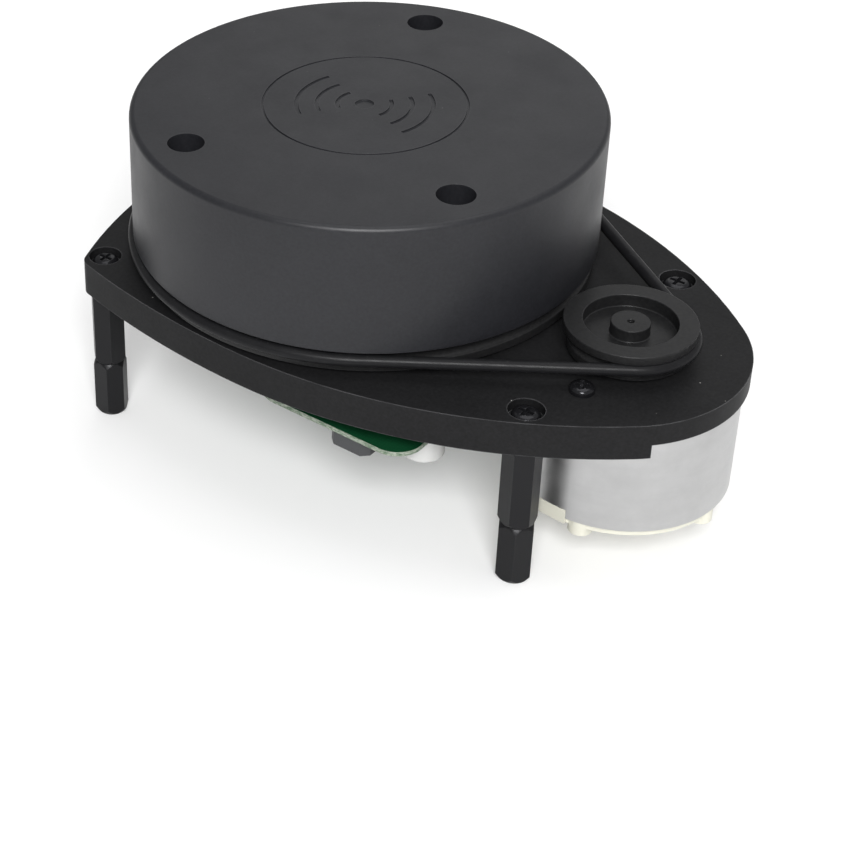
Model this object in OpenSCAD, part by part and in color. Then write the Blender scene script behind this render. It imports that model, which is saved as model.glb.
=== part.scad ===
// Lidar scanner module: a belt-driven turret on a legged base plate.
// The turret axis is the Z axis, the feet stand on z = 0 and the motor lies along +X.

/* [Overall] */
// Distance from the turret axis to the motor axis
axis_gap = 45.3; // [45:0.1:45.8]
// Direction that the optics face at rest, in degrees from the motor
rest_turn = 106; // [0:1:359]

/* [Legs] */
// Length of each lower standoff
lower_leg_h = 10; // [8:0.5:12]
// Length of each upper standoff
upper_leg_h = 14; // [12:0.5:20]
// Width of the hexagon across its flats
leg_flats = 4.8; // [4.6:0.1:5]
// Radius of the tapped M2.5 holes in the standoffs
leg_thread_r = 1.25; // [1.2:0.05:1.3]

/* [Base plate] */
// Half of the plate's width at its widest place
plate_half_w = 34.5; // [34.4:0.1:35]
// Distance from the turret axis to the tip of the nose
nose_x = 61.6; // [61.5:0.1:62.4]
// Distance from the turret axis to the middle of the rear edge
tail_x = 36.8; // [36.6:0.1:37.2]
// Thickness of the deck
deck_t = 2.5; // [2.2:0.1:2.7]
// Height of the plate from the deck's top to the skirt's lower edge
plate_h = 5.6; // [5.4:0.1:6]
// Wall thickness of the skirt
skirt_t = 1.8; // [1.4:0.1:2]
// Height that is cut from the skirt round the nose
nose_step = 2.2; // [1.8:0.1:2.2]

/* [Turret] */
// Outer radius of the turret cover
cover_r = 35; // [34.9:0.1:35.4]
// Height from the deck's top to the top of the cover
turret_h = 25; // [24:0.5:27]
// Radius of the rounded rim of the cover
rim_round = 0.9; // [0.4:0.1:1.4]
// Wall thickness of the cover
cover_t = 1.6; // [1.4:0.1:1.6]
// Radius of the circle that the cover screws sit on
cover_screw_at = 28.4; // [28.2:0.1:28.6]
// Radius of the deep screw holes in the cover
cover_hole_r = 2.75; // [2.5:0.05:2.8]
// Radius of the engraved ring on the cover
ring_mark_r = 15; // [13:0.1:16]

/* [Belt drive] */
// Radius of the round belt cord
belt_r = 0.9; // [0.8:0.05:0.95]
// Belt's centreline radius on the turntable
belt_big_r = 34.9; // [34.8:0.05:35]
// Belt's centreline radius on the motor pulley
belt_small_r = 8.8; // [8.7:0.05:8.9]
// Radius of the pulley's top flange
flange_r = 9.1; // [9:0.05:9.3]

/* [Bearing] */
// Number of balls
ball_count = 10; // [8:1:11]
// Radius of each ball
ball_r = 1.75; // [1.5:0.05:1.8]

/* [Motor] */
// Outer radius of the motor can
can_r = 15.8; // [15.6:0.1:15.9]
// Height of the motor can
can_h = 16.4; // [16:0.1:16.6]
// Radius of the motor shaft
shaft_r = 1; // [0.9:0.05:1]
// Distance of each motor screw from the motor axis
motor_screw_at = 12.1; // [11.9:0.1:12.3]

/* [Optics] */
// Height of the optical axes above the turntable's floor
lens_rise = 9.3; // [9.2:0.05:9.4]
// Sideways place of the laser
laser_y = 14; // [13.5:0.25:14.5]
// Sideways place of the receiver
eye_y = -12; // [-12.5:0.25:-11.75]
// Outer radius of the laser barrel
laser_r = 4; // [3.6:0.1:4]
// Outer radius of the receiver barrel
eye_r = 5.8; // [5.6:0.1:5.8]

/* [Hidden] */
$fn = 96;
small_fn = 40;
// Overlap that joins shapes, and the reach of a cut beyond a face
lap = 0.05;
through = 1;
// Gap of a close fit and of a running fit
fit = 0.02;
run = 0.05;

// Bore radius, outer radius and width of a ball bearing of size 61804
race_in_r = 10;
race_out_r = 16;
race_w = 7;

// Heights, from the feet up
leg_top = lower_leg_h + upper_leg_h;
deck_top = leg_top + plate_h;
deck_bottom = deck_top - deck_t;
skirt_bottom = leg_top;
step_bottom = skirt_bottom + nose_step;
cover_top = deck_top + turret_h;
belt_z = deck_top + 3;
pulley_top = belt_z + 2.3;
rim_bottom = deck_top + 0.85;
rim_top = deck_top + 4.05;
floor_top = deck_top + 6.2;
floor_bottom = deck_top + 4.2;
hub_bottom = deck_top + 1;
race_z = deck_top + 1.6;
race_top = race_z + race_w;
post_top = race_top + 1.4;
roof_bottom = race_top + 1.3 + 0.7;
roof_top = race_top + 2.7;
lens_z = floor_top + lens_rise;
board_top = skirt_bottom - 3.4;
board_t = 0.8;
board_bottom = board_top - board_t;

// Plan of the base plate
flank_front_r = 78;
flank_rear_r = 130;
tail_r = 80;
corner_r = 2.4;
widest_x = 3;
front_c = [widest_x, plate_half_w - flank_front_r];
rear_c = [widest_x, plate_half_w - flank_rear_r];
tail_c = [tail_r - tail_x, 0];
nose_gap = flank_front_r - nose_x;
nose_cx = (pow(widest_x, 2) + pow(front_c[1], 2) - pow(nose_gap, 2)) / (2 * (nose_gap + widest_x));
nose_r = nose_x - nose_cx;
nose_turn = atan2(-front_c[1], nose_cx - widest_x);
corner_c = meet(rear_c, flank_rear_r - corner_r, tail_c, tail_r - corner_r);
corner_from = bearing_of(corner_c - rear_c);
corner_to = bearing_of(corner_c - tail_c);
// The skirt is shorter within this angle to both sides of the nose
step_turn = 41.6;

// Places of the fasteners
legs = [[41.8, 20.4], [41.8, -20.4], [-29.15, 26.6], [-29.15, -26.6]];
upper_turns = [20, 37, 40, 17];
lower_turns = [50, 59, 10, 58];
board_posts = [[14, 24], [14, -24], [-20, 19], [-20, -19]];
cover_turns = [0, 135, -135];
turret_posts = [[-2, 24], [-2, -24], [-24.5, 9], [-24.5, -9]];
bracket_feet = [[14.5, 18.8], [14.5, -18.8]];

// Pieces with sizes that several modules share
post_r = race_in_r;
post_bore_r = 7.5;
groove_r = belt_r + run;
cover_hole_bottom = floor_top + 3.4;
boss_bottom = floor_top + 1.2;
boss_r = 3.9;
pitch_r = (race_in_r + race_out_r) / 2;
race_gap = 1.15;
can_top = step_bottom;
can_bottom = can_top - can_h;
can_wall = 0.8;
cap_bottom = can_bottom - 1.1;
// Turns and radius of the end cap's round feet, and of the keys that fill notches in the can
foot_turns = [-79, -4, 101, 176];
foot_r = 1.7;
key_turns = [-93, 87];
key_w = 4.2;
key_h = 1.5;
core_z0 = can_bottom + 4.6;
core_z1 = can_top - 4.2;
bush_r = 2.5;
spindle_r = 3.2;
slip_r = 3.9;
slip_count = 4;
slip_step = 2.3;
slip_z = board_top + 3;
header_x = -29;
header_w = 18;
header_h = 5.6;
pin_count = 7;
pin_step = 2;
pin_half = 0.25;
plug_x = 22;
plug_y = 10;
bracket_x = 18.6;
bracket_t = 5;
sensor_x = 10;

function bearing_of(v) = atan2(v[1], v[0]);
// Upper-left meeting point of two circles
function meet(c0, r0, c1, r1) =
    let (d = norm(c1 - c0), u = (c1 - c0) / d, a = (r0 * r0 - r1 * r1 + d * d) / (2 * d))
    c0 + a * u + sqrt(r0 * r0 - a * a) * [-u[1], u[0]];
// Points of an arc after its first one
function arc(c, r, from, to, n) =
    [for (i = [1:n]) let (a = from + (to - from) * i / n) c + r * [cos(a), sin(a)]];
function half_outline(t) = concat(
    [[nose_x - t, 0]],
    arc([nose_cx, 0], nose_r - t, 0, nose_turn, 14),
    arc(front_c, flank_front_r - t, nose_turn, 90, 20),
    arc(rear_c, flank_rear_r - t, 90, corner_from, 12),
    arc(corner_c, corner_r - t, corner_from, corner_to, 6),
    arc(tail_c, tail_r - t, corner_to, 180, 10));
// Closed outline of the plate, moved inwards by t
function outline(t) =
    let (h = half_outline(t))
    concat(h, [for (i = [len(h) - 2:-1:1]) [h[i][0], -h[i][1]]]);

module at(places) {
    for (p = places) translate([p[0], p[1], 0]) children();
}

module ring(r_out, r_in, z0, z1) {
    difference() {
        translate([0, 0, z0]) cylinder(r = r_out, h = z1 - z0);
        translate([0, 0, z0 - through]) cylinder(r = r_in, h = z1 - z0 + 2 * through);
    }
}

module peg(r, z0, z1) {
    translate([0, 0, z0]) cylinder(r = r, h = z1 - z0, $fn = small_fn);
}

module block(x0, x1, y0, y1, z0, z1) {
    translate([x0, y0, z0]) cube([x1 - x0, y1 - y0, z1 - z0]);
}

// Rod that lies along X
module rod_x(r, x0, x1, n = 64) {
    translate([x0, 0, 0]) rotate([0, 90, 0]) cylinder(r = r, h = x1 - x0, $fn = n);
}

module plate_layer(t, z0, z1) {
    translate([0, 0, z0]) linear_extrude(z1 - z0) polygon(outline(t));
}

// Everything that turns with the turret is drawn facing +X
module turret() {
    rotate([0, 0, rest_turn]) children();
}

module motor_axis() {
    translate([axis_gap, 0, 0]) children();
}

// Pan head screw with a cross recess; z is the seat under its head
module pan_screw(z, head_r, head_h, shank_r, length, up = 1) {
    cross_w = head_r * 0.28;
    cross_l = head_r * 1.15;
    translate([0, 0, z]) rotate([up > 0 ? 0 : 180, 0, 0]) {
        difference() {
            rotate_extrude($fn = 48) pan_profile(head_r, head_h);
            translate([0, 0, head_h * 0.45 + head_h / 2]) {
                cube([cross_l, cross_w, head_h], center = true);
                cube([cross_w, cross_l, head_h], center = true);
            }
        }
        translate([0, 0, -length]) cylinder(r = shank_r, h = length + lap, $fn = small_fn);
    }
}

// Half section of a pan head: an upright wall and a domed top
module pan_profile(head_r, head_h) {
    wall = head_h * 0.45;
    steps = 6;
    polygon(concat([[0, 0], [head_r, 0]],
        [for (i = [0:steps]) let (a = 90 * i / steps)
            [head_r * (0.45 + 0.55 * cos(a)), wall + (head_h - wall) * sin(a)]],
        [[0, head_h]]));
}

// Hexagonal bar with turned ends
module hex_bar(z0, z1, turn) {
    corner = leg_flats / 2 / cos(30);
    end_r = corner - 0.5;
    clear_r = corner + 0.25;
    bevel_h = 1.2;
    intersection() {
        translate([0, 0, z0]) rotate([0, 0, turn]) cylinder(r = corner, h = z1 - z0, $fn = 6);
        rotate_extrude() polygon([[0, z0], [end_r, z0], [clear_r, z0 + bevel_h],
            [clear_r, z1 - bevel_h], [end_r, z1], [0, z1]]);
    }
}

module u_groove(r, reach) {
    rotate_extrude() {
        translate([r, belt_z]) circle(r = groove_r, $fn = 48);
        translate([r, belt_z - groove_r]) square([reach, 2 * groove_r]);
    }
}

module base_plate() {
    boss = 4.3;
    recess_r = 2.55;
    recess_h = 1.6;
    pad_r = 17.6;
    reach = 25;
    color([0.17, 0.17, 0.18]) difference() {
        union() {
            difference() {
                plate_layer(0, skirt_bottom, deck_top);
                plate_layer(skirt_t, skirt_bottom - through, deck_bottom);
            }
            intersection() {
                plate_layer(lap, leg_top, deck_bottom + lap);
                union() {
                    at(legs) peg(boss, leg_top + fit, deck_top);
                    motor_axis() peg(pad_r, step_bottom, deck_top);
                    ribs();
                }
            }
            at(board_posts) peg(2.8, board_top, deck_bottom + lap);
            ring(post_r + 1.6, post_bore_r, deck_bottom, race_z);
            ring(post_r - fit, post_bore_r, deck_bottom, post_top);
            ring(post_r + 2.4, post_bore_r, deck_bottom - 2, deck_bottom + lap);
        }
        // Groove for the clip, and the bore of the post
        ring(post_r + lap, post_r - 0.7, race_top + fit, race_top + 0.92);
        peg(post_bore_r, board_top, post_top + through);
        at(legs) {
            peg(recess_r, deck_top - recess_h, deck_top + through);
            peg(1.5, leg_top - through, deck_top);
        }
        at(board_posts) peg(1.05, board_top - through, deck_bottom - 0.5);
        motor_axis() {
            peg(3.7, step_bottom - through, deck_top + through);
            peg(can_r + 0.2, skirt_bottom - through, step_bottom);
            for (s = [-1, 1]) translate([0, s * motor_screw_at, 0])
                peg(1.15, step_bottom - through, deck_top + through);
        }
        // Sector about the nose's centre
        translate([nose_cx, 0, skirt_bottom - through]) linear_extrude(through + nose_step)
            polygon([[0, 0], [reach, -reach * tan(step_turn)], [reach, reach * tan(step_turn)]]);
    }
}

// Stiffening ribs under the deck, from the post out to the skirt
module ribs() {
    rib_t = 1.2;
    rib_h = 2;
    cross_y = 15;
    for (a = [90:45:270]) rotate([0, 0, a])
        block(post_r, 40, -rib_t / 2, rib_t / 2, deck_bottom - rib_h, deck_bottom + lap);
    for (s = [-1, 1]) translate([0, s * cross_y, 0])
        block(-24, 26, -rib_t / 2, rib_t / 2, deck_bottom - rib_h, deck_bottom + lap);
}

module corner_screws() {
    color([0.12, 0.12, 0.13]) at(legs)
        pan_screw(deck_top - 1.6, 2, 1.35, leg_thread_r - run, deck_top - 1.6 - leg_top + 6);
}

module upper_standoffs() {
    depth = 7;
    color([0.15, 0.15, 0.16]) for (i = [0:3]) at([legs[i]]) difference() {
        hex_bar(lower_leg_h, leg_top, upper_turns[i]);
        peg(leg_thread_r + fit, lower_leg_h - through, lower_leg_h + depth);
        peg(leg_thread_r + fit, leg_top - depth, leg_top + through);
    }
}

module lower_standoffs() {
    depth = 7;
    stud = 6;
    color([0.15, 0.15, 0.16]) for (i = [0:3]) at([legs[i]]) difference() {
        union() {
            hex_bar(0, lower_leg_h, lower_turns[i]);
            peg(leg_thread_r - run, lower_leg_h - 0.5, lower_leg_h + stud);
        }
        peg(leg_thread_r, -through, depth);
    }
}

module motor_can() {
    color([0.78, 0.78, 0.79]) motor_axis() difference() {
        union() {
            rotate_extrude() can_profile();
            peg(3.6, can_top - lap, can_top + 2.8);
        }
        peg(can_r - can_wall, can_bottom - through, can_top - 1);
        peg(bush_r, can_top - 2, can_top + 4);
        for (s = [-1, 1]) translate([0, s * motor_screw_at, 0]) peg(1.02, can_top - 2, can_top + through);
        for (a = key_turns) rotate([0, 0, a])
            block(can_r - 2, can_r + 1, -key_w / 2 - run, key_w / 2 + run,
                can_bottom - through, can_bottom + key_h);
    }
}

// Half section of the can: a wall with a rounded shoulder
module can_profile() {
    round_r = 0.8;
    polygon(concat([[0, can_bottom], [can_r, can_bottom]],
        [for (i = [0:5]) let (a = 90 * i / 5)
            [can_r - round_r + round_r * cos(a), can_top - round_r + round_r * sin(a)]],
        [[0, can_top]]));
}

module motor_end_cap() {
    color([0.9, 0.88, 0.78]) motor_axis() difference() {
        union() {
            peg(can_r - can_wall - fit, can_bottom - lap, can_bottom + 1.4);
            peg_big(can_r - 0.5, cap_bottom, can_bottom - fit);
            peg(4.2, cap_bottom - 1, can_bottom);
            for (a = foot_turns) rotate([0, 0, a]) translate([can_r - 0.1 - foot_r, 0, 0])
                peg(foot_r, cap_bottom - 1.3, can_bottom - 2 * fit);
            for (a = key_turns) rotate([0, 0, a])
                block(can_r - 3, can_r - fit, -key_w / 2, key_w / 2,
                    cap_bottom + 0.2, can_bottom + key_h - run);
        }
        peg(bush_r, cap_bottom - 0.2, can_bottom + 3);
        for (s = [-1, 1]) rotate([0, 0, 180 + s * 30]) terminal_slot(fit);
    }
}

// Flat brass strip that passes through the cap; gap widens it into its own slot
module terminal_slot(gap) {
    block(11.6 - gap, 12.1 + gap, -1 - gap, 1 + gap, cap_bottom - 2.4, can_bottom + 1.4 + gap);
}

module motor_terminals() {
    color([0.8, 0.66, 0.3]) motor_axis() for (s = [-1, 1]) rotate([0, 0, 180 + s * 30]) difference() {
        terminal_slot(0);
        translate([11.2, 0, cap_bottom - 1.5]) rod_x(0.35, 0, 1.5, 24);
    }
}

module motor_magnets() {
    color([0.2, 0.2, 0.2]) motor_axis() difference() {
        ring(can_r - can_wall - fit, 12.6, can_bottom + 3.2, can_top - 2.6);
        for (a = [45, 135]) rotate([0, 0, a])
            block(-can_r, can_r, -2, 2, can_bottom + 2, can_top);
    }
}

module motor_bushes() {
    color([0.72, 0.55, 0.3]) motor_axis() {
        ring(bush_r - fit, shaft_r + fit, can_top - 1, can_top + 2.6);
        ring(bush_r - fit, shaft_r + fit, cap_bottom - 0.1, can_bottom + 1.4);
    }
}

module motor_brushes() {
    reach = 2.6 + 0.03;
    z0 = can_bottom + 1.7;
    color([0.3, 0.28, 0.27]) motor_axis() for (s = [-1, 1]) rotate([0, 0, 180 + s * 90]) {
        block(reach, reach + 1.2, -0.8, 0.8, z0, z0 + 1.5);
        block(reach + 1, reach + 1.3, -0.6, 6, z0 + 0.2, z0 + 1.3);
    }
}

module motor_screws() {
    color([0.12, 0.12, 0.13]) motor_axis() for (s = [-1, 1]) translate([0, s * motor_screw_at, 0])
        rotate([0, 0, 30]) pan_screw(deck_top, 1.75, 1.1, 1, deck_top - can_top + 0.95);
}

// Round cord: an arc on each wheel and the two straight strands that touch both.
// The strands are a hair thinner, so that their ends run into the arcs cleanly.
module drive_belt() {
    lean = asin((belt_big_r - belt_small_r) / axis_gap);
    strand = axis_gap * cos(lean);
    tuck = 0.3;
    color([0.1, 0.1, 0.1]) translate([0, 0, belt_z]) {
        difference() {
            cord_ring(belt_big_r);
            wedge(90 - lean);
        }
        translate([axis_gap, 0, 0]) intersection() {
            cord_ring(belt_small_r);
            wedge(90 - lean);
        }
        for (s = [-1, 1]) rotate([0, 0, s * (90 - lean)]) translate([belt_big_r, s * tuck, 0])
            rotate([s * 90, 0, 0]) cylinder(r = belt_r - 0.01, h = strand + 2 * tuck, $fn = 48);
    }
}

module cord_ring(r) {
    rotate_extrude() translate([r, 0]) circle(r = belt_r, $fn = 48);
}

// Prism that covers the directions up to half_turn on each side of +X
module wedge(half_turn) {
    reach = 80;
    translate([0, 0, -3]) linear_extrude(6)
        polygon([[0, 0], reach * [cos(half_turn), -sin(half_turn)], [reach, -reach], [reach, reach],
            reach * [cos(half_turn), sin(half_turn)]]);
}

module main_board() {
    color([0.05, 0.32, 0.14]) difference() {
        translate([0, 0, board_bottom]) linear_extrude(board_t) board_outline();
        at(board_posts) peg(1.3, board_bottom - through, board_top + through);
        motor_axis() peg(can_r + 2.7, board_bottom - through, board_top + through);
        peg(2, board_bottom - through, board_top + through);
        at(data_pin_places()) peg(0.45, board_bottom - through, board_top + through);
    }
}

// Board: rounded front corners, sides that taper towards a round rear end
module board_outline() {
    half_w = 30.4;
    front_x = 29.2;
    round_r = 4.2;
    taper_x = 6;
    tail_w = 15.5;
    intersection() {
        union() {
            translate([0, round_r - half_w]) square([front_x, 2 * (half_w - round_r)]);
            polygon([[-40, -tail_w], [taper_x, -half_w], [front_x - round_r, -half_w],
                [front_x - round_r, half_w], [taper_x, half_w], [-40, tail_w]]);
            for (s = [-1, 1]) translate([front_x - round_r, s * (half_w - round_r)])
                circle(r = round_r, $fn = 48);
        }
        translate([8, 0]) circle(r = 38.5);
    }
}

module board_screws() {
    color([0.7, 0.7, 0.72]) at(board_posts)
        pan_screw(board_bottom, 1.6, 1, 1, 5.5, -1);
}

function data_pin_places() =
    [for (i = [0:pin_count - 1]) [header_x + 6, (i - (pin_count - 1) / 2) * pin_step]];

// Header under the rear edge of the board, open towards -X
module data_connector() {
    wall = 0.8;
    depth = 7;
    color([0.92, 0.91, 0.88]) difference() {
        block(header_x, header_x + depth, -header_w / 2, header_w / 2,
            board_bottom - header_h, board_bottom);
        block(header_x - through, header_x + depth - 2, wall - header_w / 2, header_w / 2 - wall,
            board_bottom - header_h + wall, board_bottom - wall);
        for (s = [-1, 1]) block(header_x - through, header_x + 3, s * 4 - 0.8, s * 4 + 0.8,
            board_bottom - header_h - through, board_bottom - header_h + wall + lap);
        for (p = data_pin_places()) {
            translate([p[0], p[1], 0]) bent_pin(pin_half + fit);
        }
    }
}

module data_pins() {
    color([0.8, 0.68, 0.35]) at(data_pin_places()) bent_pin(pin_half);
}

// Square pin that lies in the header's opening and turns up through the board
module bent_pin(half) {
    z = board_bottom - header_h / 2;
    block(-4.8, half, -half, half, z - half, z + half);
    block(-half, half, -half, half, z - half, board_top + 1);
}

// Two-way header for the motor, under the board beside the motor can
module motor_connector() {
    color([0.92, 0.91, 0.88]) difference() {
        block(plug_x - 2.2, plug_x + 2.2, plug_y - 3.5, plug_y + 3.5, board_bottom - 6, board_bottom);
        block(plug_x - 1.5, plug_x + 1.5, plug_y - 2.8, plug_y + 2.8, board_bottom - 7, board_bottom - 1.4);
    }
}

// Each wire leaves its terminal, runs level and turns up into the header
module motor_wires() {
    wire_from = 12.65;
    for (s = [-1, 1]) color(s > 0 ? [0.7, 0.1, 0.1] : [0.1, 0.1, 0.1])
        wire([axis_gap - wire_from * cos(30), -wire_from * s * sin(30)], [plug_x, plug_y - s * 1.2],
            cap_bottom - 1.9, board_bottom - 1.6);
}

// Wire over the plan places p and q that starts level at z0 and ends upright at z1
module wire(p, q, z0, z1) {
    wire_r = 0.5;
    bend = 3;
    run_x = norm(q - p) - bend;
    translate([p[0], p[1], z0]) rotate([0, 0, bearing_of(q - p)]) {
        rod_x(wire_r, 0, run_x, 24);
        translate([run_x, 0, bend]) rotate([90, 0, 0]) intersection() {
            rotate_extrude($fn = 64) translate([bend, 0]) circle(r = wire_r, $fn = 24);
            block(0, 2 * bend, -2 * bend, 0, -1, 1);
        }
        translate([run_x + bend, 0, bend]) cylinder(r = wire_r, h = z1 - z0 - bend, $fn = 24);
    }
}

module power_inductor() {
    side = 6.8;
    cut = 1.1;
    height = 3;
    color([0.27, 0.27, 0.28]) translate([15.7, -29.7, board_bottom - height]) linear_extrude(height)
        polygon([[cut, 0], [side - cut, 0], [side, cut], [side, side - cut],
            [side - cut, side], [cut, side], [0, side - cut], [0, cut]]);
}

module bulk_capacitor() {
    color([0.9, 0.9, 0.9]) translate([25.8, -20.3, board_bottom]) mirror([0, 0, 1]) rotate_extrude($fn = 64)
        polygon([[0, 0], [3.3, 0], [3.3, 0.8], [3, 1], [3, 1.3], [3.15, 1.5], [3.15, 5.1],
            [2.85, 5.4], [0, 5.4]]);
}

module controller_chip() {
    color([0.1, 0.1, 0.11]) {
        block(-9, -1, -18, -10, board_bottom - 1.1, board_bottom - 0.1);
        for (i = [0:7], a = [0, 90, 180, 270]) translate([-5, -14, 0]) rotate([0, 0, a])
            block(3.9, 5, i - 3.65, i - 3.35, board_bottom - 0.5, board_bottom);
    }
}

// Small packages under the board, each on its own two pads
module board_small_parts() {
    places = [[6, -14, 0], [6, -18, 0], [10, -9, 90], [-14, -9, 90], [-14, -14, 0], [2, 12, 0],
        [2, 16, 0], [-4, 12, 90], [-8, 16, 0], [13, 14, 90], [-14, 12, 0], [22, -10, 0]];
    color([0.55, 0.45, 0.35]) for (p = places) translate([p[0], p[1], 0]) rotate([0, 0, p[2]])
        block(-1, 1, -0.6, 0.6, board_bottom - 0.7, board_bottom);
}

module brush_holder() {
    color([0.15, 0.15, 0.16]) {
        block(5.1, 6.9, -2.4, 2.4, board_top, slip_z + slip_count * slip_step + 0.8);
        block(5.1, 7.2, -3.6, 3.6, board_top, board_top + 1.5);
    }
}

module slip_ring_brushes() {
    wire_r = 0.15;
    touch_x = slip_r + wire_r + fit;
    color([0.85, 0.7, 0.3]) for (i = [0:slip_count - 1]) translate([0, 0, slip_z + (i + 0.5) * slip_step]) {
        translate([0, 2.1, 0]) rod_x(wire_r, touch_x, 5.08, 16);
        translate([touch_x, 2.1, 0]) sphere(r = wire_r, $fn = 16);
        translate([touch_x, 2.1, 0]) rotate([90, 0, 0]) cylinder(r = wire_r, h = 4.2, $fn = 16);
    }
}

module encoder_comb() {
    comb_r = 27.8;
    comb_t = 0.8;
    teeth = 15;
    color([0.13, 0.13, 0.14]) difference() {
        union() {
            ring(comb_r + 1.2, comb_r - comb_t - 1.2, deck_top, deck_top + 0.6);
            ring(comb_r, comb_r - comb_t, deck_top, deck_top + 3.2);
        }
        for (i = [0:teeth - 1]) rotate([0, 0, i * 360 / teeth])
            block(comb_r - 3, comb_r + 3, -2.9, 2.9, deck_top + 1.2, deck_top + 5);
    }
}

module race(r_out, r_in, toward) {
    bevel = 0.3;
    rotate_extrude() difference() {
        polygon([[r_in + bevel, 0], [r_out - bevel, 0], [r_out, bevel], [r_out, race_w - bevel],
            [r_out - bevel, race_w], [r_in + bevel, race_w], [r_in, race_w - bevel], [r_in, bevel]]);
        translate([toward, race_w / 2]) circle(r = ball_r + run, $fn = 48);
    }
}

module bearing_inner_race() {
    color([0.75, 0.75, 0.77]) translate([0, 0, race_z]) race(pitch_r - race_gap, race_in_r, pitch_r);
}

module bearing_outer_race() {
    color([0.75, 0.75, 0.77]) translate([0, 0, race_z]) race(race_out_r, pitch_r + race_gap, pitch_r);
}

module bearing_balls() {
    color([0.85, 0.85, 0.87]) for (i = [0:ball_count - 1]) rotate([0, 0, i * 360 / ball_count])
        translate([pitch_r, 0, race_z + race_w / 2]) sphere(r = ball_r, $fn = 48);
}

module bearing_cage() {
    color([0.7, 0.6, 0.4]) translate([0, 0, race_z + race_w / 2]) difference() {
        ring(pitch_r + race_gap - 0.3, pitch_r - race_gap + 0.3, -2.3, 2.3);
        for (i = [0:ball_count - 1]) rotate([0, 0, i * 360 / ball_count])
            rod_x(ball_r + run, pitch_r - 3, pitch_r + 3, 48);
    }
}

// Open snap ring above the inner race
module bearing_clip() {
    color([0.3, 0.3, 0.31]) difference() {
        ring(post_r + 1.2, post_r - 0.65, race_top + run, race_top + 0.87);
        block(0, post_r + 3, -3, 3, race_top - through, post_top + through);
    }
}

module turntable() {
    wall = 2;
    rim_in = 31;
    color([0.14, 0.14, 0.15]) turret() difference() {
        union() {
            peg_big(belt_big_r - 0.4, rim_bottom, rim_top);
            peg_big(cover_r - cover_t - 0.15, rim_top - lap, floor_top);
            peg_big(race_out_r + wall, hub_bottom, roof_top);
            at(cover_places()) peg(3.6, floor_top - lap, boss_bottom - fit);
            at(turret_posts) peg(2.4, floor_top - lap, roof_top + 1.7);
        }
        ring(rim_in, race_out_r + wall, rim_bottom - through, floor_bottom);
        peg_big(race_out_r + fit, hub_bottom - through, race_top + fit);
        peg_big(race_out_r - 1.6, race_top, roof_bottom);
        peg_big(spindle_r + fit, roof_bottom - through, roof_top + through);
        u_groove(belt_big_r, 5);
        at(cover_places()) peg(1.2, floor_bottom + 0.3, floor_top + 3);
        at(turret_posts) peg(0.95, floor_bottom + 1, roof_top + 4);
        at(bracket_feet) peg(0.95, floor_bottom - through, floor_top + through);
        block(-30.4, -24.4, -2.6, 2.6, floor_bottom - through, floor_top + through);
    }
}

module peg_big(r, z0, z1) {
    translate([0, 0, z0]) cylinder(r = r, h = z1 - z0, $fn = 128);
}

function cover_places() = [for (a = cover_turns) cover_screw_at * [cos(a), sin(a)]];

module turret_cover() {
    line_w = 0.36;
    engraved = 0.25;
    color([0.22, 0.22, 0.23]) turret() difference() {
        union() {
            rotate_extrude($fn = 180) cover_profile();
            at(cover_places()) peg(boss_r, boss_bottom, cover_top - 1);
        }
        at(cover_places()) {
            peg(cover_hole_r, cover_hole_bottom, cover_top + through);
            peg(1.5, boss_bottom - through, cover_hole_bottom + through);
        }
        window(eye_y, 15, 13.6);
        window(laser_y, 10.5, 13.6);
        ring(ring_mark_r + line_w / 2, ring_mark_r - line_w / 2, cover_top - engraved, cover_top + through);
        translate([0, 0, cover_top - engraved]) linear_extrude(through) scan_mark();
    }
}

// Half section of the cover: flat top, rounded rim, thin wall
module cover_profile() {
    foot = rim_top + fit;
    bevel = 0.25;
    lid_t = 2.2;
    in_r = cover_r - cover_t;
    polygon(concat([[0, cover_top]],
        [for (i = [0:8]) let (a = 90 - 90 * i / 8)
            [cover_r - rim_round + rim_round * cos(a), cover_top - rim_round + rim_round * sin(a)]],
        [[cover_r, foot + bevel], [cover_r - bevel, foot], [in_r, foot], [in_r, cover_top - lid_t],
            [0, cover_top - lid_t]]));
}

// Rounded opening through the front wall, centred on an optical axis
module window(y, w, h) {
    corner = 2;
    translate([20, y, lens_z]) rotate([90, 0, 90]) linear_extrude(20) rounded(w, h, corner);
}

module rounded(w, h, r) {
    square([w - 2 * r, h], center = true);
    square([w, h - 2 * r], center = true);
    for (x = [-1, 1], y = [-1, 1]) translate([x * (w / 2 - r), y * (h / 2 - r)]) circle(r = r, $fn = 32);
}

// Plain mark inside the ring: a dot with arcs that spread to both sides
module scan_mark() {
    stroke = 0.6;
    reach = 12;
    circle(r = 1.4, $fn = 32);
    for (r = [4, 7, 10]) intersection() {
        difference() {
            circle(r = r + stroke / 2, $fn = 96);
            circle(r = r - stroke / 2, $fn = 96);
        }
        for (s = [-1, 1]) polygon([[0, 0], [-reach * 0.8, s * reach], [reach * 0.8, s * reach]]);
    }
}

module cover_screws() {
    color([0.12, 0.12, 0.13]) turret() at(cover_places())
        pan_screw(cover_hole_bottom, 2.3, 1.5, 1.15, cover_hole_bottom - floor_bottom - 0.6);
}

module slip_ring_core() {
    bottom = slip_z - 1;
    color([0.88, 0.87, 0.82]) turret() difference() {
        union() {
            peg(spindle_r, bottom, roof_top + lap);
            peg(5.5, roof_top + fit, roof_top + 1.2);
        }
        peg(1.5, bottom - through, roof_top + 3);
        for (i = [0:slip_count - 1]) ring(spindle_r + through, spindle_r - 0.5,
            slip_z + i * slip_step + 0.4, slip_z + (i + 1) * slip_step - 0.4);
    }
}

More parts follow.
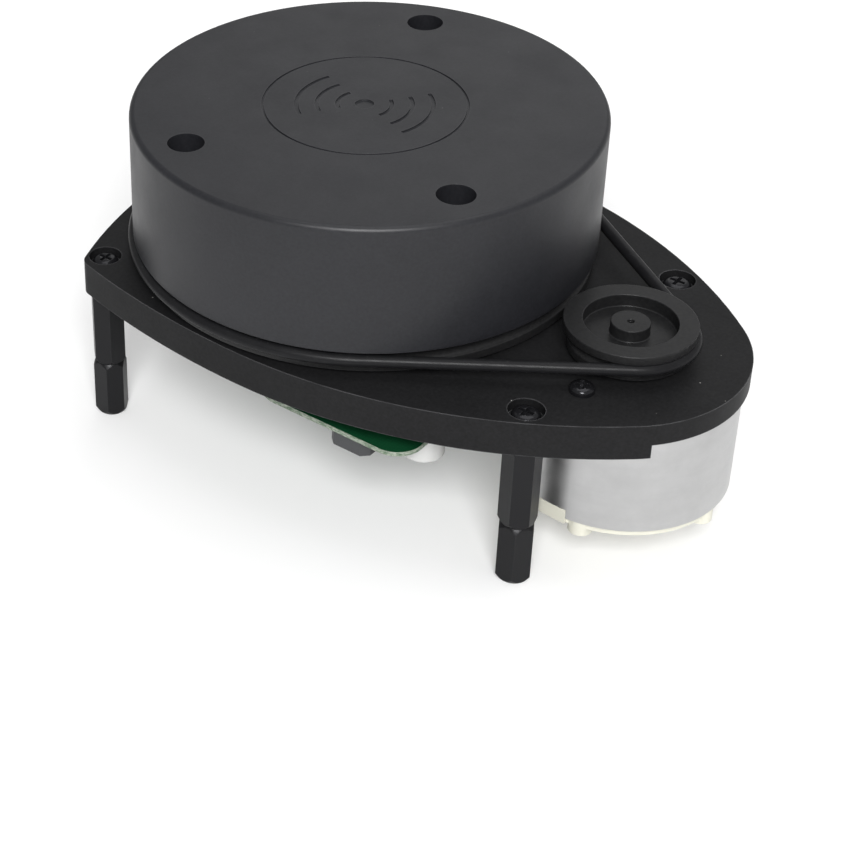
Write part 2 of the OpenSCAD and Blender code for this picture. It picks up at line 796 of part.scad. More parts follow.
module slip_rings() {
    color([0.85, 0.7, 0.3]) turret() for (i = [0:slip_count - 1])
        ring(slip_r, spindle_r - 0.5 + fit,
            slip_z + i * slip_step + 0.42, slip_z + (i + 1) * slip_step - 0.42);
}

module encoder_sensor() {
    color([0.12, 0.12, 0.13]) turret() difference() {
        union() {
            block(-30.3, -24.5, -2.5, 2.5, deck_top + 1.6, floor_top + lap);
            block(-31, -23.8, -3.6, 3.6, floor_top + fit, floor_top + 1.4);
        }
        block(-28.6, -26.2, -4, 4, deck_top, deck_top + 3.8);
    }
}

module turret_board() {
    color([0.05, 0.32, 0.14]) turret() difference() {
        intersection() {
            peg_big(31.5, roof_top + 1.72, roof_top + 2.92);
            block(-40, 1.5, -40, 40, roof_top, roof_top + 9);
        }
        at(turret_posts) peg(1.2, roof_top, roof_top + 9);
        for (p = [cover_places()[1], cover_places()[2]]) translate([p[0], p[1], 0])
            peg(boss_r + 0.5, roof_top, roof_top + 9);
    }
}

module turret_board_screws() {
    color([0.7, 0.7, 0.72]) turret() at(turret_posts) pan_screw(roof_top + 2.94, 1.8, 1, 0.9, 5);
}

module signal_processor() {
    color([0.1, 0.1, 0.11]) turret() {
        z0 = roof_top + 2.92;
        block(-19, -11, -4, 4, z0 + 0.1, z0 + 1.1);
        for (i = [0:7], a = [0, 90, 180, 270]) translate([-15, 0, 0]) rotate([0, 0, a])
            block(3.9, 5, i - 3.65, i - 3.35, z0, z0 + 0.5);
    }
}

// Upright block that holds both barrels, with a dark shroud behind the receiver
module optics_bracket() {
    foot_t = 2;
    color([0.15, 0.15, 0.16]) turret() difference() {
        union() {
            block(bracket_x, bracket_x + bracket_t, -21, 21, floor_top, lens_z + 5.6);
            for (s = [-1, 1]) block(bracket_feet[0][0] - 3, bracket_x + 1, min(s * 16.8, s * 21),
                max(s * 16.8, s * 21), floor_top, floor_top + foot_t);
            block(sensor_x + 1.6, bracket_x + lap, eye_y - 5.4, eye_y + 5.4, roof_top + fit, lens_z + 4.6);
        }
        translate([0, eye_y, lens_z]) rod_x(eye_r + fit, bracket_x + 0.4, 30);
        translate([0, eye_y, lens_z]) rod_x(3.6, sensor_x, 30);
        translate([0, laser_y, lens_z]) rod_x(laser_r + fit, 5, 30);
        at(bracket_feet) peg(1.15, floor_top - through, floor_top + 4);
    }
}

module bracket_screws() {
    color([0.7, 0.7, 0.72]) turret() at(bracket_feet) pan_screw(floor_top + 2, 1.8, 1, 0.9, 3.8);
}

module laser_barrel() {
    color([0.78, 0.62, 0.3]) turret() translate([0, laser_y, lens_z]) difference() {
        union() {
            rod_x(laser_r, 8, 26.6);
            rod_x(laser_r - 0.4, 26.5, 27.4);
        }
        rod_x(3, 23.6, 30);
        rod_x(2, 9.3, 30);
        rod_x(2.82, 7, 9.4);
    }
}

// Lens with two bulging faces; r is its edge radius and bulge the radius of its faces
module lens(r, bulge, thick) {
    steps = 10;
    edge = asin(r / bulge);
    face = [for (i = [0:steps]) let (a = edge * i / steps)
        [bulge * sin(a), bulge * cos(a) - bulge + thick / 2]];
    rotate([0, 90, 0]) rotate_extrude()
        polygon(concat(face, [for (i = [steps:-1:0]) [face[i][0], -face[i][1]]]));
}

module laser_lens() {
    color([0.6, 0.7, 0.8]) turret() translate([24.9, laser_y, lens_z]) lens(3 - fit, 8, 2.2);
}

module laser_diode() {
    color([0.75, 0.7, 0.5]) turret() translate([0, laser_y, lens_z]) {
        rod_x(2.8, 8.1, 9.3);
        rod_x(1.7, 9.2, 9.95);
        for (a = [90, 210, 330]) rotate([a, 0, 0]) translate([0, 1.2, 0]) rod_x(0.22, 3, 8.2, 16);
    }
}

module receiver_barrel() {
    front_x = 27.9;
    color([0.12, 0.12, 0.13]) turret() translate([0, eye_y, lens_z]) difference() {
        rod_x(eye_r, bracket_x + 0.45, front_x);
        rod_x(5, 23.4, front_x + through);
        rod_x(3.6, bracket_x, front_x);
    }
}

module receiver_lens() {
    color([0.55, 0.6, 0.75]) turret() translate([25.2, eye_y, lens_z]) lens(5 - fit, 14, 3);
}

module sensor_board() {
    color([0.05, 0.32, 0.14]) turret()
        block(sensor_x - 1.2, sensor_x, eye_y - 6, eye_y + 6, roof_top + fit, lens_z + 5);
}

module image_sensor() {
    color([0.2, 0.2, 0.22]) turret()
        block(sensor_x, sensor_x + 1.3, eye_y - 4, eye_y + 4, lens_z - 2.2, lens_z + 2.2);
}

module motor_shaft() {
    color([0.8, 0.8, 0.82]) motor_axis() rotate_extrude($fn = 48)
        polygon([[0, cap_bottom - 0.15], [shaft_r - 0.2, cap_bottom - 0.15], [shaft_r, cap_bottom + 0.05],
            [shaft_r, pulley_top - 1], [shaft_r - 0.2, pulley_top - 0.8], [0, pulley_top - 0.8]]);
}

// Dished wheel with a centre boss
module motor_pulley() {
    dish_r = 6.4;
    dish_h = 2;
    boss = 2.7;
    color([0.16, 0.16, 0.17]) motor_axis() difference() {
        union() {
            peg_big(flange_r, belt_z - lap, pulley_top);
            peg_big(8.4, rim_bottom, belt_z);
            peg(2.4, deck_top + 0.4, rim_bottom + lap);
        }
        difference() {
            peg_big(dish_r, pulley_top - dish_h, pulley_top + through);
            peg(boss, pulley_top - dish_h - through, pulley_top - 0.15);
        }
        peg(shaft_r + fit, deck_top, pulley_top - 0.75);
        peg(0.45, deck_top, pulley_top + through);
        u_groove(belt_small_r, 4);
    }
}

module rotor_core() {
    shoe_r = 12.3;
    color([0.5, 0.5, 0.52]) motor_axis() translate([0, 0, core_z0])
        linear_extrude(core_z1 - core_z0) difference() {
            union() {
                circle(r = 4, $fn = small_fn);
                for (a = [0, 120, 240]) rotate(a) {
                    translate([2, -1.5]) square([9, 3]);
                    intersection() {
                        difference() {
                            circle(r = shoe_r);
                            circle(r = 10.4);
                        }
                        polygon([[0, 0], [20, -26], [20, 26]]);
                    }
                }
            }
            circle(r = shaft_r + fit, $fn = small_fn);
        }
}

module rotor_windings() {
    color([0.75, 0.4, 0.2]) motor_axis() for (a = [0, 120, 240]) rotate([0, 0, a]) difference() {
        block(5.2, 9.6, -3.6, 3.6, core_z0 - 1.4, core_z1 + 1.4);
        block(0, 12, -1.5 - fit, 1.5 + fit, core_z0 - fit, core_z1 + fit);
    }
}

module commutator() {
    color([0.78, 0.45, 0.25]) motor_axis() difference() {
        peg(2.6, can_bottom + 1.6, can_bottom + 3.4);
        peg(shaft_r + fit, can_bottom, can_bottom + 6);
        for (a = [0, 120, 240]) rotate([0, 0, a])
            block(1.8, 4, -0.15, 0.15, can_bottom, can_bottom + 5);
    }
}

base_plate();
corner_screws();
upper_standoffs();
lower_standoffs();
motor_can();
motor_end_cap();
motor_magnets();
motor_bushes();
motor_brushes();
motor_terminals();
motor_screws();
drive_belt();
main_board();
board_screws();
data_connector();
data_pins();
motor_connector();
motor_wires();
power_inductor();
bulk_capacitor();
controller_chip();
board_small_parts();
brush_holder();
slip_ring_brushes();
encoder_comb();
bearing_inner_race();
bearing_clip();
bearing_outer_race();
bearing_balls();
bearing_cage();
turntable();
turret_cover();
cover_screws();
slip_ring_core();
slip_rings();
encoder_sensor();
turret_board();
turret_board_screws();
signal_processor();
optics_bracket();
bracket_screws();
laser_barrel();
laser_lens();
laser_diode();
receiver_barrel();
receiver_lens();
sensor_board();
image_sensor();
motor_shaft();
motor_pulley();
rotor_core();
rotor_windings();
commutator();
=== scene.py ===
"""Visual model of the belt-driven lidar scanner module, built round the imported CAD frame."""
import math
import random

import bmesh
import bpy
from mathutils import Matrix, Vector


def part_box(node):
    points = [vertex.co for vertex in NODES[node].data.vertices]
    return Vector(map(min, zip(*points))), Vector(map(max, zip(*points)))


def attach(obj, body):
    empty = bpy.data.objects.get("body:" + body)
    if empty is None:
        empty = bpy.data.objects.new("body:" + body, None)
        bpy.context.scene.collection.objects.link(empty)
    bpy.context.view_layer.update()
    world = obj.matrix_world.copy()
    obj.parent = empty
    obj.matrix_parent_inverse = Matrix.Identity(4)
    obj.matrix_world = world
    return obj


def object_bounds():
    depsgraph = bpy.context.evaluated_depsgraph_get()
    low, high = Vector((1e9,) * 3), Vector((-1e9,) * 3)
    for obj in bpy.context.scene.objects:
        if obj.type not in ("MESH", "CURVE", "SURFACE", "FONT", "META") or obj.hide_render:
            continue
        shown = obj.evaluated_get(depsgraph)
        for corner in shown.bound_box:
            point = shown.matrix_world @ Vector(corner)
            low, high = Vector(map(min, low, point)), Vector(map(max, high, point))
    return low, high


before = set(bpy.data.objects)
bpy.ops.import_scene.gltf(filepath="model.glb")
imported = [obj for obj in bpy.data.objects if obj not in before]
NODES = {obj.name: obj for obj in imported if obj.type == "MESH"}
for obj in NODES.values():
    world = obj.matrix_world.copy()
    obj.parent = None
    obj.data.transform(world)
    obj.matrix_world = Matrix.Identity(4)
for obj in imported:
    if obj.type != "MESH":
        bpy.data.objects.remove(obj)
CAD_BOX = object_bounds()
MM = 0.001
SAME_POINT = 1e-6  # metres
random.seed(61804)


# ---------------------------------------------------------------- shader helper
class Shader:
    """Builds one procedural material on object coordinates; sizes are in millimetres."""

    def __init__(self, name):
        self.mat = bpy.data.materials.new(name)
        self.mat.use_nodes = True
        self.tree = self.mat.node_tree
        self.tree.nodes.clear()
        self.bsdf = self.add("ShaderNodeBsdfPrincipled")
        self.out = self.add("ShaderNodeOutputMaterial")
        self.join(self.bsdf.outputs[0], self.out.inputs[0])
        self.coord = self.add("ShaderNodeTexCoord").outputs["Object"]
        self.normal = None

    def add(self, kind, inputs=None, **settings):
        node = self.tree.nodes.new(kind)
        for key, value in settings.items():
            setattr(node, key, value)
        for key, value in (inputs or {}).items():
            self.put(node.inputs[key], value)
        return node

    def join(self, a, b):
        self.tree.links.new(a, b)

    def put(self, socket, value):
        """Links a socket to another one, or sets it to a plain value."""
        if hasattr(value, "links"):
            self.join(value, socket)
        else:
            socket.default_value = value

    def math(self, operation, a, b=0.0):
        node = self.add("ShaderNodeMath", operation=operation)
        self.put(node.inputs[0], a)
        self.put(node.inputs[1], b)
        return node.outputs[0]

    def times(self, a, b):
        return self.math("MULTIPLY", a, b)

    def vector(self, operation, a, b):
        node = self.add("ShaderNodeVectorMath", operation=operation)
        self.put(node.inputs[0], a)
        self.put(node.inputs[1], b)
        return node.outputs[1] if operation in ("DOT_PRODUCT", "LENGTH") else node.outputs[0]

    def stretched(self, scale):
        return self.vector("MULTIPLY", self.coord, scale)

    def face_normal(self):
        return self.add("ShaderNodeNewGeometry").outputs["Normal"]

    def split(self, vector):
        """The x, y and z of a vector."""
        return self.add("ShaderNodeSeparateXYZ", inputs={0: vector}).outputs

    def noise(self, size, detail=2.0, rough=0.5, coord=None, seed=0.0):
        """Noise whose features are about size millimetres across."""
        node = self.add("ShaderNodeTexNoise", noise_dimensions="4D", inputs={
            "Scale": 1.0 / (size * MM), "Detail": detail, "Roughness": rough, "W": seed,
            "Vector": coord or self.coord})
        return node.outputs["Fac"]

    def remap(self, fac, a, b, low=0.0, high=1.0):
        node = self.add("ShaderNodeMapRange", inputs={
            "Value": fac, "From Min": a, "From Max": b, "To Min": low, "To Max": high})
        return node.outputs[0]

    def spread(self, noise, low=0.0, high=1.0):
        """Stretches noise from the range that it mostly fills to low and high."""
        return self.remap(noise, 0.3, 0.7, low, high)

    def mix(self, fac, a, b):
        node = self.add("ShaderNodeMix", data_type="RGBA")
        self.put(node.inputs[0], fac)
        self.put(node.inputs[6], colour(a) if isinstance(a, tuple) else a)
        self.put(node.inputs[7], colour(b) if isinstance(b, tuple) else b)
        return node.outputs[2]

    def bump(self, height, depth):
        """Adds a bump of depth millimetres to the material's normal."""
        node = self.add("ShaderNodeBump", inputs={
            "Strength": 1.0, "Distance": depth * MM, "Height": height})
        if self.normal is not None:
            self.put(node.inputs["Normal"], self.normal)
        self.normal = node.outputs[0]

    def edges(self, radius):
        """1 on sharp edges, 0 on flat faces."""
        bevel = self.add("ShaderNodeBevel", samples=4, inputs={"Radius": radius * MM})
        dot = self.vector("DOT_PRODUCT", bevel.outputs[0], self.face_normal())
        return self.remap(dot, 0.995, 0.85)

    def upward(self):
        """1 on faces that look up."""
        return self.remap(self.split(self.face_normal())[2], 0.6, 0.95)

    def finish(self, base, rough, metallic=0.0, specular=0.5, **extra):
        self.put(self.bsdf.inputs["Base Color"], base)
        self.put(self.bsdf.inputs["Roughness"], rough)
        self.put(self.bsdf.inputs["Metallic"], metallic)
        self.put(self.bsdf.inputs["Specular IOR Level"], specular)
        for key, value in extra.items():
            self.put(self.bsdf.inputs[key.replace("_", " ")], value)
        if self.normal is not None:
            self.put(self.bsdf.inputs["Normal"], self.normal)
        return self.mat


def colour(rgb):
    return (rgb[0], rgb[1], rgb[2], 1.0)


def scaled(rgb, factor, lift=0.0):
    return tuple(min(1.0, c * factor + lift) for c in rgb)


# ---------------------------------------------------------------- materials
LINES_UP = (1.0, 1.0, 0.05)  # stretches noise into upright lines
LINES_LEVEL = (0.05, 0.05, 1.0)  # stretches noise into level streaks
DUST = (0.45, 0.44, 0.42)
DUST_CELL = 2.6


# edge is the colour of the lightened edges, which stand partly for worn plastic and partly for a painted
# highlight.
def moulded(name, base, light, rough, grain=0.35, depth=0.004, dust=0.0, specular=0.5, edge_wear_and_highlight=0.35,
            edge=None):
    """Moulded plastic: uneven tone, fine texture, edges lightened partly as rubbed wear and partly as a
    painted highlight, and a few dust specks on top.
    """
    s = Shader(name)
    shade = s.mix(s.spread(s.noise(14, 3, 0.55)), base, scaled(base, 1.25))
    fine = s.noise(0.5, 2, 0.6, seed=2)
    shade = s.mix(s.remap(fine, 0.35, 0.8, 0.0, 0.25), shade, light)
    # The edge mask lightens the edges towards the edge colour, partly as rubbed wear and partly as a painted
    # highlight, and makes them a little glossier.
    rubbed_and_lit_edges = s.times(s.edges(0.25), s.spread(s.noise(3, 2, 0.6, seed=5), 0.3))
    shade = s.mix(s.times(rubbed_and_lit_edges, edge_wear_and_highlight), shade, edge or light)
    uneven = s.spread(s.noise(9, 4, 0.65, seed=1), rough - 0.05, rough + 0.06)
    uneven = s.math("SUBTRACT", uneven, s.times(rubbed_and_lit_edges, 0.1))
    if dust:
        cells = s.add("ShaderNodeTexVoronoi", inputs={
            "Scale": 1.0 / (DUST_CELL * MM), "Randomness": 1.0, "Vector": s.coord})
        spot = s.remap(cells.outputs["Distance"], 0.05, 0.02)
        some = s.remap(s.noise(2.3, 1, 0.5, seed=7), 0.57, 0.61)
        spot = s.times(s.times(spot, some), s.upward())
        shade = s.mix(s.times(spot, dust), shade, DUST)
    s.bump(s.noise(grain, 3, 0.6, seed=4), depth)
    return s.finish(shade, uneven, specular=specular)


def metal(name, base, rough, size=0.2, drawn=LINES_LEVEL, depth=0.001, metallic=1.0):
    """Drawn or plated metal: fine lines one way, blotches, and edges lightened partly as wear and partly as
    a painted highlight.
    """
    s = Shader(name)
    lines = s.noise(size, 2, 0.5, s.stretched(drawn))
    cloud = s.noise(7, 4, 0.6, seed=3)
    shade = s.mix(s.spread(cloud), scaled(base, 0.88), base)
    # Edges lightened partly as worn plating and partly as a painted highlight.
    shade = s.mix(s.times(s.edges(0.2), 0.5), shade, scaled(base, 1.5, 0.03))
    uneven = s.spread(s.math("ADD", s.times(lines, 0.5), s.times(cloud, 0.5)), rough - 0.06, rough + 0.09)
    s.bump(lines, depth)
    return s.finish(shade, uneven, metallic=metallic)


def turned_metal(name, base, rough, axis_x):
    """Metal turned about an upright axis: rings of fine lines round it."""
    s = Shader(name)
    x, y, z = s.split(s.vector("SUBTRACT", s.coord, (axis_x, 0.0, 0.0)))
    reach = s.math("SQRT", s.math("ADD", s.times(x, x), s.times(y, y)))
    along = s.times(s.math("ARCTAN2", y, x), 2 * MM)  # short, so that each line runs far round
    ringed = s.add("ShaderNodeCombineXYZ", inputs={0: reach, 1: along, 2: z}).outputs[0]
    lines = s.noise(0.12, 3, 0.6, ringed)
    bands = s.noise(1.6, 2, 0.5, ringed, seed=4)
    cloud = s.noise(6, 4, 0.65, seed=8)
    shade = s.mix(s.spread(cloud), scaled(base, 0.86), base)
    shade = s.mix(s.remap(bands, 0.45, 0.8, 0.0, 0.35), shade, scaled(base, 0.8))
    uneven = s.spread(s.math("ADD", s.times(lines, 0.6), s.times(cloud, 0.4)), rough - 0.07, rough + 0.1)
    s.bump(lines, 0.0012)
    return s.finish(shade, uneven, metallic=1.0)


def rubber(name):
    """Smooth black rubber, a little dusty on top."""
    s = Shader(name)
    shade = s.mix(s.noise(2.0, 3, 0.6), (0.007, 0.007, 0.008), (0.016, 0.016, 0.017))
    dusty = s.times(s.remap(s.noise(0.35, 2, 0.6, seed=6), 0.62, 0.75), s.upward())
    shade = s.mix(s.times(dusty, 0.10), shade, (0.2, 0.2, 0.2))
    s.bump(s.noise(0.18, 3, 0.6, seed=1), 0.004)
    return s.finish(shade, s.spread(s.noise(1.2, 3, 0.6, seed=2), 0.30, 0.42), specular=0.14)


def solder_mask(name):
    """Green solder mask over woven glass, with pale cut edges."""
    s = Shader(name)
    weave = [s.add("ShaderNodeTexWave", wave_type="BANDS", bands_direction=way, inputs={
        "Scale": 1.0 / (1.6 * MM), "Distortion": 0.6, "Detail": 1.0,
        "Vector": s.coord}).outputs["Fac"] for way in "XY"]
    cloth = s.times(*weave)
    shade = s.mix(s.spread(s.noise(5, 3, 0.6)), (0.0045, 0.048, 0.018), (0.0075, 0.072, 0.027))
    shade = s.mix(s.times(cloth, 0.25), shade, (0.010, 0.092, 0.038))
    side = s.remap(s.math("ABSOLUTE", s.split(s.face_normal())[2]), 0.5, 0.3)
    fibre = s.noise(0.55, 3, 0.7, s.stretched((1.0, 1.0, 3.0)), seed=9)
    cut = s.mix(s.remap(fibre, 0.40, 0.60), (0.09, 0.15, 0.09), (0.36, 0.39, 0.33))
    shade = s.mix(side, shade, cut)
    s.bump(cloth, 0.003)
    s.bump(s.noise(0.4, 2, 0.5, seed=3), 0.001)
    return s.finish(shade, s.remap(side, 0.0, 1.0, 0.26, 0.7))


def glass(name, tint):
    """Coated lens glass with a few smears."""
    s = Shader(name)
    smear = s.noise(2.5, 4, 0.7)
    shade = s.mix(smear, tint, scaled(tint, 1.15))
    coat = s.mix(s.noise(6, 1, 0.5, seed=2), (0.35, 0.25, 0.75), (0.15, 0.45, 0.55))
    return s.finish(shade, s.remap(smear, 0.3, 0.8, 0.01, 0.06), specular=0.6,
                    Transmission_Weight=0.9, IOR=1.5, Coat_Weight=0.5, Coat_Tint=coat,
                    Coat_Roughness=0.02)


def ceramic(name, base, rough=0.45, speck=0.5):
    """Pressed powder such as ferrite, ceramic or carbon, finely speckled."""
    s = Shader(name)
    fine = s.noise(0.15, 3, 0.7)
    cloud = s.noise(2.0, 2, 0.5, seed=2)
    shade = s.mix(s.spread(cloud), scaled(base, 0.85), base)
    shade = s.mix(s.remap(fine, 0.5, 0.8, 0.0, speck), shade, scaled(base, 0.6))
    s.bump(fine, 0.003)
    return s.finish(shade, s.spread(cloud, rough - 0.06, rough + 0.06))


def plain_name(material):
    """A material's name without the number that Blender adds to a repeated name."""
    return material.name.split(".")[0]


MOTOR_X = (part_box("motor_can")[0].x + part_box("motor_can")[1].x) / 2
MATS = {plain_name(made): made for made in (
    # The edge colours below stand partly for rubbed wear and partly for a painted highlight along the edges.
    moulded("plate_black", (0.0095, 0.0095, 0.010), (0.035, 0.035, 0.037), 0.48, 0.30, 0.006,
            dust=0.8, specular=0.12, edge_wear_and_highlight=0.8, edge=(0.13, 0.13, 0.135)),
    moulded("cover_black", (0.0116, 0.0119, 0.0142), (0.038, 0.039, 0.045), 0.40, 0.22, 0.003,
            dust=0.25, specular=0.40, edge=(0.09, 0.09, 0.095)),
    moulded("dark_plastic", (0.0095, 0.0095, 0.010), (0.04, 0.04, 0.04), 0.36, 0.30, 0.004,
            specular=0.25, edge=(0.10, 0.10, 0.105)),
    rubber("belt_rubber"),
    metal("leg_metal", (0.009, 0.009, 0.0105), 0.36, 0.15, LINES_UP, 0.0015, metallic=0.5),
    metal("screw_black", (0.022, 0.022, 0.025), 0.20, metallic=0.6),
    metal("screw_steel", (0.62, 0.62, 0.60), 0.30),
    turned_metal("can_steel", (0.62, 0.62, 0.62), 0.36, MOTOR_X),
    moulded("cap_nylon", (0.64, 0.63, 0.54), (0.74, 0.73, 0.66), 0.38, 0.4, 0.004, edge_wear_and_highlight=0.2),
    ceramic("magnet", (0.07, 0.07, 0.075), 0.6),
    metal("bronze", (0.55, 0.36, 0.17), 0.42, 0.1, depth=0.003),
    ceramic("carbon", (0.04, 0.038, 0.036), 0.55),
    metal("contact_brass", (0.78, 0.58, 0.26), 0.28, 0.12),
    solder_mask("board_green"),
    moulded("connector_white", (0.72, 0.71, 0.66), (0.85, 0.85, 0.82), 0.42, 0.5, 0.003, edge_wear_and_highlight=0.2),
    moulded("wire_sleeve", (0.02, 0.02, 0.021), (0.06, 0.06, 0.06), 0.40, 0.3, 0.002),
    ceramic("ferrite", (0.052, 0.054, 0.057), speck=0.6),
    moulded("can_white", (0.60, 0.60, 0.59), (0.74, 0.74, 0.74), 0.22, 0.6, 0.001, edge_wear_and_highlight=0.3),
    moulded("chip_black", (0.014, 0.014, 0.015), (0.05, 0.05, 0.05), 0.48, 0.15, 0.003),
    ceramic("ceramic_chip", (0.36, 0.26, 0.17)),
    turned_metal("bearing_steel", (0.72, 0.72, 0.73), 0.22, 0.0),
    metal("spring_steel", (0.25, 0.25, 0.26), 0.32, 0.15),
    metal("cage_brass", (0.66, 0.50, 0.24), 0.35, 0.15),
    glass("lens_glass", (0.85, 0.90, 0.95)),
    turned_metal("barrel_black", (0.03, 0.03, 0.032), 0.40, 0.0),
    turned_metal("shaft_steel", (0.70, 0.70, 0.71), 0.24, MOTOR_X),
    metal("lamination", (0.42, 0.42, 0.44), 0.40, 0.1, depth=0.004),
    metal("copper", (0.70, 0.30, 0.14), 0.34, 0.15, depth=0.004),
)}

for cad_object in NODES.values():
    for kept in cad_object.material_slots:
        kept.material = MATS[plain_name(kept.material)]


# ---------------------------------------------------------------- finer edges on the CAD nodes
FLAT_WITHIN = math.radians(0.5)
SHARP_FROM = math.radians(35.0)
ROUNDED = {  # width of the rounding on each node's sharp edges, in millimetres
    "turret_cover": 0.12, "base_plate": 0.15, "motor_pulley": 0.18, "turntable": 0.12,
    "motor_can": 0.12, "motor_end_cap": 0.15, "upper_standoffs": 0.1, "lower_standoffs": 0.1,
    "corner_screws": 0.08, "motor_screws": 0.08, "cover_screws": 0.08, "board_screws": 0.08,
    "power_inductor": 0.15, "bulk_capacitor": 0.1, "main_board": 0.05, "data_connector": 0.1,
    "motor_connector": 0.1, "controller_chip": 0.05, "optics_bracket": 0.15, "laser_barrel": 0.08,
    "receiver_barrel": 0.08, "encoder_sensor": 0.1,
}


def soften(o, width):
    """Joins a CAD node's flat faces and rounds its sharp edges, with modifiers only."""
    o.modifiers.new("weld", "WELD").merge_threshold = SAME_POINT
    flat = o.modifiers.new("flat", "DECIMATE")
    flat.decimate_type = "DISSOLVE"
    flat.angle_limit = FLAT_WITHIN
    bevel = o.modifiers.new("bevel", "BEVEL")
    bevel.width = width
    bevel.segments = 2
    bevel.limit_method = "ANGLE"
    bevel.angle_limit = SHARP_FROM
    bevel.use_clamp_overlap = True
    o.modifiers.new("normals", "WEIGHTED_NORMAL").keep_sharp = False
    for polygon in o.data.polygons:
        polygon.use_smooth = True


for rounded_node, rounded_by in ROUNDED.items():
    soften(NODES[rounded_node], rounded_by * MM)


# ---------------------------------------------------------------- mesh helpers, in millimetres
CORNERS = ((-1, -1), (1, -1), (1, 1), (-1, 1))


def span(node):
    """Lowest and highest corner of a node."""
    low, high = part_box(node)
    return low / MM, high / MM


def islands(node):
    """Lowest and highest corner of each separate solid in a node."""
    bm = bmesh.new()
    bm.from_mesh(NODES[node].data)
    bmesh.ops.remove_doubles(bm, verts=bm.verts, dist=SAME_POINT)
    left, found = set(bm.verts), []
    while left:
        stack = [left.pop()]
        low, high = stack[0].co.copy(), stack[0].co.copy()
        while stack:
            for edge in stack.pop().link_edges:
                for vert in edge.verts:
                    if vert in left:
                        left.remove(vert)
                        stack.append(vert)
                        for i in range(3):
                            low[i] = min(low[i], vert.co[i])
                            high[i] = max(high[i], vert.co[i])
        found.append((low / MM, high / MM))
    bm.free()
    return sorted(found, key=lambda box: tuple(round(c, 3) for c in box[0]))


def middle(box):
    return (box[0] + box[1]) / 2


def across_of(along):
    """A plan direction turned a quarter to the left."""
    return Vector((-along.y, along.x))


def turns(count):
    """Evenly spaced angles of one full turn."""
    return [2 * math.pi * i / count for i in range(count)]


def make(name, bm, slot, body, smooth=True):
    """Turns a bmesh in millimetres into a piece that rides on a body."""
    bmesh.ops.scale(bm, vec=(MM, MM, MM), verts=bm.verts)
    bmesh.ops.recalc_face_normals(bm, faces=bm.faces)
    mesh = bpy.data.meshes.new(name)
    bm.to_mesh(mesh)
    bm.free()
    for polygon in mesh.polygons:
        polygon.use_smooth = smooth
    o = bpy.data.objects.new(name, mesh)
    bpy.context.scene.collection.objects.link(o)
    mesh.materials.append(MATS[slot])
    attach(o, body)


def loft(bm, rows, closed=False):
    """Skins rows of points; open rows get end caps."""
    rings = [[bm.verts.new(p) for p in row] for row in rows]
    count = len(rings[0])
    pairs = list(zip(rings, rings[1:])) + ([(rings[-1], rings[0])] if closed else [])
    for a, b in pairs:
        for i in range(count):
            j = (i + 1) % count
            bm.faces.new((a[i], a[j], b[j], b[i]))
    if not closed:
        bm.faces.new(rings[0][::-1])
        bm.faces.new(rings[-1])


def lathe(bm, centre, profile, sides):
    """Solid turned about an upright axis; profile is (radius, z) from one end to the other."""
    loft(bm, [[(centre[0] + radius * math.cos(a), centre[1] + radius * math.sin(a), z)
               for a in turns(sides)] for radius, z in profile])


def prism(bm, outline, z0, z1):
    """Upright prism over a plan outline."""
    loft(bm, [[(p[0], p[1], z) for p in outline] for z in (z0, z1)])


def track(bm, path, width, z0, z1):
    """Flat ribbon along a plan path, with mitred bends."""
    points = [Vector(p) for p in path]
    left, right = [], []
    for i, here in enumerate(points):
        before = (here - points[i - 1]).normalized() if i else (points[1] - here).normalized()
        after = (points[i + 1] - here).normalized() if i + 1 < len(points) else before
        along = (before + after).normalized()
        across = across_of(along) * width / 2 / max(0.5, along.dot(before))
        left.append(here + across)
        right.append(here - across)
    prism(bm, left + right[::-1], z0, z1)


def sweep(bm, path, radius, sides):
    """Round cord along a path of 3-D points that never runs straight up."""
    points = [Vector(p) for p in path]
    rows = []
    for i, here in enumerate(points):
        along = (points[min(i + 1, len(points) - 1)] - points[max(i - 1, 0)]).normalized()
        out = along.cross(Vector((0.0, 0.0, 1.0))).normalized()
        top = out.cross(along)
        rows.append([here + (out * math.cos(a) + top * math.sin(a)) * radius for a in turns(sides)])
    loft(bm, rows)


# ---------------------------------------------------------------- circuit board details
COPPER = 0.035  # how far a track stands off the board
INK = 0.02
SUNK = 0.01  # how far a detail goes into the board, so that no gap shows
VIA_HEIGHT = 0.05
LOOSE_TRACKS = 150  # tries; those that meet a package or the rim are dropped
BOARD_REACH = 27


def blob(bm, centre, radius, z, height):
    """Domed drop of solder on a face at z; a negative height hangs down."""
    steps = 5
    lathe(bm, centre, [(radius * math.cos(a), z + height * math.sin(a))
                       for a in (math.pi / 2 * i / steps * 0.97 for i in range(steps + 1))], 14)


